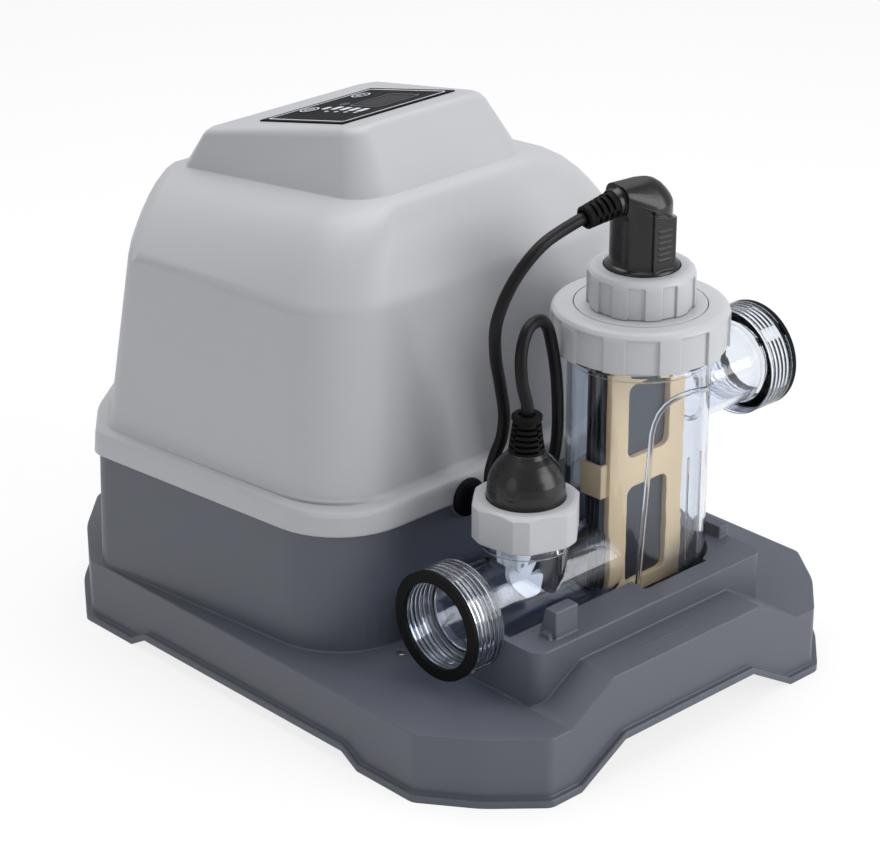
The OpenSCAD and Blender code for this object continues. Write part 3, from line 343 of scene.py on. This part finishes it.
def floor_finish():
    """Pale floor that fades to white for the camera, and keeps the shadow."""
    finish = Finish("studio floor")
    cloud = finish.noise(0.8, 2)
    body = finish.mix(cloud, srgb(246, 247, 248), srgb(251, 251, 252))
    finish.feed(Base_Color=body, Roughness=0.85 + cloud * 0.05)
    ray = finish.tree.nodes.new("ShaderNodeLightPath")
    seen = Wire(finish.tree, ray.outputs["Is Camera Ray"])
    mirrored = Wire(finish.tree, ray.outputs["Is Glossy Ray"])
    through = Wire(finish.tree, ray.outputs["Is Transmission Ray"])
    white = finish.node("ShaderNodeEmission", values={"Strength": 1.0})
    share = (seen * 0.80 + mirrored * 0.45 + through * 0.70).held(0.0, 1.0)
    shader = Wire(finish.tree, finish.shader.outputs[0])
    both = finish.node("ShaderNodeMixShader", values={0: share, 1: shader, 2: white})
    join(finish.tree, finish.tree.nodes["Material Output"].inputs["Surface"], both)
    return finish


# The edge share given to each moulded finish sets how strongly a painted highlight lightens its rounded
# edges.
FINISHES = {
    "slate_plastic": moulded("slate plastic", srgb(84, 87, 97), 0.44, edge=0.0017, painted_edge_highlight=0.75, tone=0.04),
    "grey_plastic": moulded("cover plastic", srgb(176, 177, 181), 0.42, edge=0.0014, tone=0.02, painted_edge_highlight=0.05),
    "ring_plastic": moulded("ring plastic", srgb(184, 185, 189), 0.40, edge=0.0012, tone=0.02, painted_edge_highlight=0.30),
    "clear_plastic": clear("clear plastic", (0.86, 0.90, 0.97, 1.0)),
    "smoked_plastic": moulded("smoked window", srgb(40, 40, 46), 0.50, painted_edge_highlight=0.02, Specular_IOR_Level=0.1),
    "black_rubber": rubber("black rubber", srgb(6, 6, 7), Specular_IOR_Level=0.12),
    "black_plastic": moulded(
        "black plastic", srgb(6, 7, 7), 0.27, edge=0.0009, tone=0.10, painted_edge_highlight=0.30, Specular_IOR_Level=0.45
    ),
    "overlay_film": overlay_film(),
    "led_lens": printed("led lens", srgb(196, 206, 200)),
    "board": circuit("circuit board"),
    "steel": metal("zinc-plated steel", srgb(176, 178, 182), 0.30, (1.0, 1.0, 0.1)),
    "core_iron": banded("core laminations", srgb(92, 94, 98), srgb(40, 40, 42), 0.0007, "Y", 0.45, 0.7),
    "copper": banded("enamelled copper", srgb(186, 98, 52), srgb(94, 44, 22), 0.0012, "Z", 0.3, 0.8),
    "brass": metal("brass", srgb(202, 166, 92), 0.28),
    "aluminium": metal("extruded aluminium", srgb(196, 198, 202), 0.34, (0.06, 1.0, 1.0)),
    "capacitor_sleeve": moulded("capacitor sleeve", srgb(28, 38, 70), 0.30),
    "relay_case": moulded("relay case", srgb(30, 62, 120), 0.36),
    "terminal_green": moulded("terminal block", srgb(44, 132, 66), 0.40),
    "cream_plastic": moulded("cream plastic", srgb(232, 203, 157), 0.44, edge=0.0010, tone=0.03, painted_edge_highlight=0.10),
    "titanium": metal("coated titanium", srgb(92, 96, 100), 0.46, (1.0, 1.0, 0.05), 0.0009, 0.35),
    "white_plastic": moulded("white plastic", srgb(236, 238, 240), 0.36, edge=0.0006, tone=0.01),
}
INK = printed("white ink", srgb(214, 216, 224))
GREY_INK = printed("grey ink", srgb(104, 105, 112))
CORD_PVC = rubber("cord sheath", srgb(7, 7, 8), 0.42, 0.0009, Specular_IOR_Level=0.2)


# ---------- pieces ----------
def finished(name, mesh, finish, body, stands_for=(), angle=32):
    """Makes a bmesh into a named piece: smooth but for edges sharper than angle."""
    for face in mesh.faces:
        face.smooth = True
    for edge in mesh.edges:
        edge.smooth = edge.calc_face_angle(0.0) < rad(angle)
    data = bpy.data.meshes.new(name)
    mesh.to_mesh(data)
    mesh.free()
    if "custom_normal" in data.attributes:
        data.attributes.remove(data.attributes["custom_normal"])
    data.materials.clear()
    data.materials.append(finish.material)
    piece = bpy.data.objects.new(name, data)
    scene.collection.objects.link(piece)
    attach(piece, body)
    if stands_for:
        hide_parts(*stands_for)
    return piece


def smooth_moulding(node, name, slot, angle):
    """Copy of a faceted CAD moulding with its surfaces joined and smoothed."""
    mesh = bmesh.new()
    mesh.from_mesh(nodes[node].data)
    bmesh.ops.remove_doubles(mesh, verts=mesh.verts, dist=WELD)
    bmesh.ops.dissolve_degenerate(mesh, dist=WELD, edges=mesh.edges)
    piece = finished(name, mesh, FINISHES[slot], "root", (node,), angle)
    weigh = piece.modifiers.new("even shading", "WEIGHTED_NORMAL")
    weigh.mode = "FACE_AREA_WITH_ANGLE"
    weigh.keep_sharp = True
    return piece


# ---------- cords ----------
def route(points):
    """Smooth curve through points given in millimetres, in the frame's metres."""
    ends = [points[0], *points, points[-1]]
    line = []
    for i in range(len(points) - 1):
        a, b, c, d = (Vector(p) for p in ends[i : i + 4])
        for step in range(6):
            t = step / 6
            bend = (2 * a - 5 * b + 4 * c - d) * t * t + (3 * b - a - 3 * c + d) * t * t * t
            line.append((2 * b + (c - a) * t + bend) * 0.5 * MM)
    return [*line, Vector(points[-1]) * MM]


def lay_cord(name, points):
    """A round cord as a curve of one open spline."""
    line = route(points)
    curve = bpy.data.curves.new(name, "CURVE")
    curve.dimensions = "3D"
    curve.twist_mode = "MINIMUM"
    curve.bevel_depth = CORD_D / 2 * MM
    curve.bevel_resolution = 7
    curve.use_fill_caps = True
    spline = curve.splines.new("POLY")
    spline.points.add(len(line) - 1)
    for knot, place in zip(spline.points, line):
        knot.co = (*place, 1.0)
    spline.use_smooth = True
    curve.materials.append(CORD_PVC.material)
    cord = bpy.data.objects.new(name, curve)
    scene.collection.objects.link(cord)
    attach(cord, "root")
    length = sum((b - a).length for a, b in zip(line, line[1:]))
    return cord, length


CELL_CORD = [
    (-38, -69.1, 108), (-38, -73.4, 108.7), (-38, -77.3, 110.9), (-38, -80, 114.6), (-38, -81.2, 119.6),
    (-37.6, -81.4, 129), (-36.6, -83.8, 139), (-35, -87, 150), (-36, -89.5, 165), (-42, -92.5, 184),
    (-49.5, -96.5, 204), (-54, -102, 225.5), (-47, -107, 247), (-30.5, -110, 262.5),
    (-5.678, -108.342, 267.658), (2.116, -109.299, 269.185),
]
SENSOR_CORD = [
    (-4, -69.1, 108), (-4, -75, 108.5), (-4, -81, 110.7), (-4, -87, 115.2), (-4, -91.6, 121.6),
    (-4, -95, 130), (-4, -97.5, 145), (-4.5, -98, 162), (-6, -98, 180), (-10, -99, 196),
    (-16, -101, 210.5), (-25.4, -104.5, 218.5), (-37.3, -107.5, 217.5), (-44.7, -110.5, 207),
    (-46, -112.5, 193), (-43.6, -114, 179.5), (-43.6, -114, 173),
]


def make_cords():
    plug = smooth_moulding("cell_plug", "plug_moulding", "black_plastic", 34)
    cord, length = lay_cord("cell_lead", CELL_CORD)
    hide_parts("cell_cord")
    cord, length = lay_cord("sensor_lead", SENSOR_CORD)
    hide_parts("sensor_cord")


# ---------- keypad graphics ----------
# The overlay's middle and slope, the ink's height on the overlay and on the keys, and its thickness
PAD = Matrix.Translation((0.0, 63.0 * MM, 287.57 * MM)) @ Matrix.Rotation(rad(-12.4), 4, "X")
PRINT_Z = 0.83 * MM
KEY_Z = 1.13 * MM
PRINT_T = 0.04 * MM
KEY_POWER = (21.9, 21.9)
KEY_MODE = (-15.4, 22.6)
DOT = (1.2, 11.9)


def outline_only(mesh, faces, line):
    """Leaves a band of that width inside the rim of the faces."""
    mesh.normal_update()
    bmesh.ops.inset_region(mesh, faces=faces, thickness=line, use_boundary=True, use_even_offset=True)
    bmesh.ops.delete(mesh, geom=faces, context="FACES_ONLY")


def pad_plate(mesh, x, y, width, depth, corner, line=0.0):
    """Flat printed shape with rounded corners, filled or as an outline."""
    for face in mesh.faces:
        face.tag = True
    made = bmesh.ops.create_grid(mesh, x_segments=1, y_segments=1, size=0.5)["verts"]
    bmesh.ops.scale(mesh, vec=(width * MM, depth * MM, 1.0), verts=made)
    bmesh.ops.translate(mesh, vec=(x * MM, y * MM, 0.0), verts=made)
    bmesh.ops.bevel(
        mesh,
        geom=made,
        offset=corner * MM,
        offset_type="OFFSET",
        affect="VERTICES",
        segments=5,
        profile=0.5,
        material=-1,
    )
    if line:
        outline_only(mesh, [face for face in mesh.faces if not face.tag], line * MM)


def pad_ring(mesh, x, y, radius, line, start=0.0, sweep=360.0):
    """Printed ring, or part of one."""
    full = sweep >= 360.0
    inner = mesh.verts.new((radius * MM, 0.0, 0.0))
    outer = mesh.verts.new(((radius + line) * MM, 0.0, 0.0))
    edge = mesh.edges.new((inner, outer))
    turn = Matrix.Rotation(rad(start), 3, "Z")
    bmesh.ops.rotate(mesh, cent=(0, 0, 0), matrix=turn, verts=[inner, outer])
    bmesh.ops.translate(mesh, vec=(x * MM, y * MM, 0.0), verts=[inner, outer])
    bmesh.ops.spin(
        mesh,
        geom=[inner, outer, edge],
        cent=(x * MM, y * MM, 0.0),
        axis=(0.0, 0.0, 1.0),
        angle=rad(sweep),
        steps=36,
        use_merge=full,
    )


def printed_on_pad(name, mesh, finish, body="root", height=PRINT_Z):
    """Gives flat printed shapes their thickness and lays them on the overlay or a key."""
    made = bmesh.ops.extrude_face_region(mesh, geom=mesh.faces[:])["geom"]
    raised = [v for v in made if isinstance(v, bmesh.types.BMVert)]
    bmesh.ops.translate(mesh, vec=(0.0, 0.0, PRINT_T), verts=raised)
    bmesh.ops.recalc_face_normals(mesh, faces=mesh.faces)
    bmesh.ops.translate(mesh, vec=(0.0, 0.0, height), verts=mesh.verts)
    bmesh.ops.transform(mesh, matrix=PAD, verts=mesh.verts)
    return finished(name, mesh, finish, body)


def make_keypad():
    """Border, lamp labels, display frame and dot on the overlay, and a sign on each key."""
    lines = bmesh.new()
    pad_plate(lines, 0, 0, 76.4, 64.4, 3.0, 1.15)
    for i in range(4):
        pad_plate(lines, -8.6 - 0.7 * i, 7 - 8 * i, 7.4, 4.2, 0.8)
    pad_plate(lines, -9.6, 14.8, 6.0, 3.6, 0.8)
    printed_on_pad("pad_lines", lines, INK)
    small = bmesh.new()
    pad_plate(small, 13.2, -8, 31.0, 25.6, 2.4, 0.8)
    pad_ring(small, *DOT, 2.1, 0.7)
    pad_ring(small, *DOT, 0.2, 0.9)
    printed_on_pad("pad_marks", small, GREY_INK)
    power = bmesh.new()
    x, y = KEY_POWER
    pad_ring(power, x, y, 4.6, 0.95)
    pad_ring(power, x, y, 2.0, 0.8, -60.0, 300.0)
    pad_plate(power, x, y + 1.7, 0.8, 2.6, 0.1)
    printed_on_pad("power_mark", power, INK, "key_power", KEY_Z)
    mode = bmesh.new()
    x, y = KEY_MODE
    pad_ring(mode, x, y, 4.6, 0.95)
    pad_ring(mode, x, y, 2.2, 0.75)
    pad_plate(mode, x, y - 0.8, 0.7, 1.8, 0.1)
    pad_plate(mode, x - 0.7, y, 1.6, 0.7, 0.1)
    printed_on_pad("mode_mark", mode, INK, "key_mode", KEY_Z)


# ---------- details of the clear vessel and the sensor ----------
def bead(name, stations, radius, slot):
    """Round bead swept through stations, closed at both ends."""
    mesh = bmesh.new()
    ring = bmesh.ops.create_circle(mesh, cap_ends=True, segments=BEAD_SIDES, radius=radius)["verts"]
    ends = [stations[0], *stations, stations[-1]]
    place = Matrix()
    for i, here in enumerate(stations):
        heading = (ends[i + 2] - ends[i]).normalized()
        wanted = Matrix.Translation(here) @ heading.to_track_quat("Z", "Y").to_matrix().to_4x4()
        if i:
            top = [f for f in ring[0].link_faces if all(v in f.verts for v in ring)]
            made = bmesh.ops.extrude_face_region(mesh, geom=top)["geom"]
            bmesh.ops.delete(mesh, geom=top, context="FACES_ONLY")
            ring = [v for v in made if isinstance(v, bmesh.types.BMVert)]
        bmesh.ops.transform(mesh, matrix=wanted @ place.inverted(), verts=ring)
        place = wanted
    bmesh.ops.recalc_face_normals(mesh, faces=mesh.faces)
    return finished(name, mesh, FINISHES[slot], "root", angle=60)


def on_vessel(angle, z, out):
    """Point that stands out from the vessel's wall, from an angle in degrees and a height."""
    r = VESSEL_R + out
    return Vector((CELL[0] + r * math.cos(rad(angle)), CELL[1] + r * math.sin(rad(angle)), z)) * MM


def make_vessel_ribs():
    """The raised bead up the front of the vessel, which turns to the outlet, and two fine ribs beside it."""
    stops = [(-134 + 0.65 * i, 58 + 8 * i) for i in range(12)]
    stops += [(-126.2, 154), (-124.5, 160), (-121.5, 165.5), (-116.5, 169.8), (-110.5, 172.6), (-103, 174.2)]
    stops += [(-94, 174.6), (-85, 173.8), (-77, 172.4), (-71, 171.2)]
    line = [on_vessel(a, z, 0.9) for a, z in stops]
    bead("vessel_rib", line, 1.5 * MM, "clear_plastic")
    for i, angle in enumerate((-92, -76)):
        side = [on_vessel(angle, z, 0.2) for z in (76, 100, 124, 136)]
        bead(f"vessel_side_rib_{i + 1}", side, 0.6 * MM, "clear_plastic")


def make_ledge_line():
    """Fine moulded line along the top of the front ledge."""
    line = [Vector((x, LEDGE_LINE_Y, LEDGE_TOP_Z)) * MM for x in (-23, -10, 3, 16)]
    bead("ledge_line", line, 0.45 * MM, "slate_plastic")


def bell_radius(z):
    """Radius of the sensor's bell at a height, in millimetres."""
    for (z0, r0), (z1, r1) in zip(BELL_PROFILE, BELL_PROFILE[1:]):
        if z <= z1:
            return r0 + (r1 - r0) * (z - z0) / (z1 - z0)
    return BELL_PROFILE[-1][1]


def make_bell_oval():
    """Blank oval pad on the side of the sensor's bell."""
    mesh = bmesh.new()
    bmesh.ops.create_circle(mesh, cap_ends=True, segments=40, radius=1.0)
    mesh.normal_update()
    for inset in (0.12, 0.22, 0.3):
        middle = [max(mesh.faces, key=lambda f: len(f.verts))]
        bmesh.ops.inset_region(mesh, faces=middle, thickness=inset, use_boundary=True)
    for vert in mesh.verts:
        across, up = vert.co.x * OVAL_HALF[0], vert.co.y * OVAL_HALF[1]
        rim = math.hypot(vert.co.x, vert.co.y) > 0.95
        z = OVAL_Z + up
        r = bell_radius(z) + (0.02 if rim else OVAL_PROUD)
        turn = rad(OVAL_TURN) + across / r
        vert.co = Vector((SENSOR[0] + r * math.cos(turn), SENSOR[1] + r * math.sin(turn), z)) * MM
    bmesh.ops.recalc_face_normals(mesh, faces=mesh.faces)
    outward = Vector((math.cos(rad(OVAL_TURN)), math.sin(rad(OVAL_TURN)), 0))
    if sum((f.normal.dot(outward) * f.calc_area() for f in mesh.faces)) < 0:
        bmesh.ops.reverse_faces(mesh, faces=mesh.faces)
    finished("bell_oval", mesh, FINISHES["black_plastic"], "root", angle=70)


# ---------- studio ----------
def make_floor():
    mesh = bmesh.new()
    bmesh.ops.create_grid(mesh, x_segments=1, y_segments=1, size=14.0)
    data = bpy.data.meshes.new("studio_floor")
    mesh.to_mesh(data)
    mesh.free()
    data.materials.append(floor_finish().material)
    floor = bpy.data.objects.new("studio_floor", data)
    scene.collection.objects.link(floor)


def softbox(name, place, target, size, watts):
    data = bpy.data.lights.new(name, "AREA")
    data.shape = "RECTANGLE"
    data.size = size[0]
    data.size_y = size[1]
    data.energy = watts
    lamp = bpy.data.objects.new(name, data)
    lamp.location = place
    lamp.rotation_euler = (Vector(target) - Vector(place)).to_track_quat("-Z", "Y").to_euler()
    scene.collection.objects.link(lamp)


def make_studio():
    world = bpy.data.worlds.new("studio")
    scene.world = world
    world.use_nodes = True
    tree = world.node_tree
    ray = tree.nodes.new("ShaderNodeLightPath")
    seen = Wire(tree, ray.outputs["Is Camera Ray"])
    mirrored = Wire(tree, ray.outputs["Is Glossy Ray"])
    through = Wire(tree, ray.outputs["Is Transmission Ray"])
    strength = (0.42 + seen * 0.58 + mirrored * 0.18 + through * 0.5).held(0.0, 1.0)
    tree.nodes["Background"].inputs["Color"].default_value = (1.0, 1.0, 1.0, 1.0)
    join(tree, tree.nodes["Background"].inputs["Strength"], strength)
    softbox("overhead", (0.15, 0.25, 1.5), (0, 0, 0.2), (1.3, 1.3), 16.0)
    softbox("left_fill", (-1.5, -0.1, 0.8), (0, 0, 0.15), (0.8, 1.1), 2.4)
    softbox("right_strip", (0.75, -1.45, 0.75), (0, -0.1, 0.15), (1.1, 1.3), 18.0)
    scene.view_settings.view_transform = "Standard"


def dress_nodes():
    """Every CAD node gets the finish of its slot."""
    for part in frame["record"]["subparts"]:
        node = nodes[part["node"]]
        for slot in node.material_slots:
            slot.material = FINISHES[part["material_slot"]].material


make_camera()
dress_nodes()
make_cords()
smooth_moulding("base", "base_moulding", "slate_plastic", 24)
smooth_moulding("top_cover", "cover_moulding", "grey_plastic", 30)
make_keypad()
make_vessel_ribs()
make_bell_oval()
make_ledge_line()
make_floor()
make_studio()
